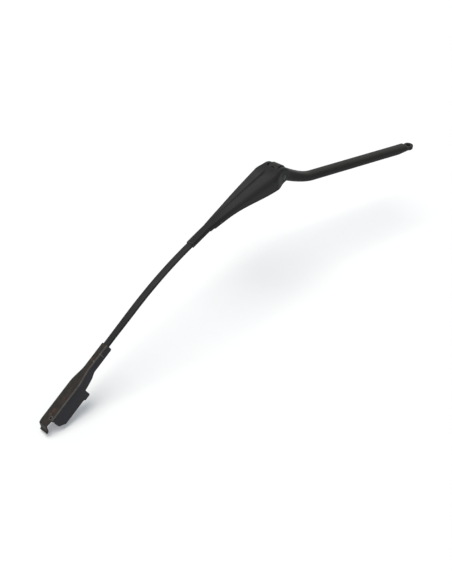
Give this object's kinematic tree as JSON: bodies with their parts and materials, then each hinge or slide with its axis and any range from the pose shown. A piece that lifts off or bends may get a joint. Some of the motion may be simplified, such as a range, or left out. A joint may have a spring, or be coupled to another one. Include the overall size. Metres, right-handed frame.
{
  "type": "wiper arm",
  "caption": "Black windscreen wiper arm: cranked cast head with a spindle eye, folded steel retainer on a hinge, tension spring and link, flat steel rod and folded blade-end shell.",
  "frame": {"origin": "on the spindle axis, on the underside of the spindle eye", "axes": "+X runs from the spindle towards the blade end, along the arm's own plane; +Z is the spindle axis, away from the glass; the arm's middle plane lies at negative Y"},
  "size_m": [0.6975, 0.1006, 0.1628],
  "materials": {
    "cast_black": "satin",
    "bush": "matte",
    "pin_steel": "satin",
    "link_steel": "satin",
    "black_pin": "satin",
    "spring_steel": "satin",
    "retainer_black": "satin",
    "rod_black": "satin",
    "shell_black": "satin, worn"
  },
  "bodies": {
    "head": {"head": "cast_black", "hinge_bush_near": "bush", "hinge_bush_far": "bush", "spring_pin": "pin_steel"},
    "arm": {"retainer": "retainer_black", "hinge_pin": "black_pin", "anchor_pin": "black_pin", "rod": "rod_black", "blade_shell": "shell_black"},
    "link": {"spring_link": "link_steel", "tension_spring": "spring_steel"}
  },
  "joints": [
    {"name": "arm_hinge", "type": "hinge", "parent": "head", "child": "arm", "pos_m": [0.247, -0.0737, 0.0414], "axis": [0, -1, 0], "range_deg": [0, 60], "stiffness_Nm_per_rad": 3, "springref_deg": -45.84, "deforming": ["tension_spring"]},
    {"name": "link_swing", "type": "hinge", "parent": "head", "child": "link", "pos_m": [0.241, -0.0737, 0.0359], "axis": [0, -1, 0], "range_deg": [0, 56.7]}
  ],
  "couplings": [
    {"joint": "link_swing", "follows": "arm_hinge", "ratio": 0.944}
  ]
}
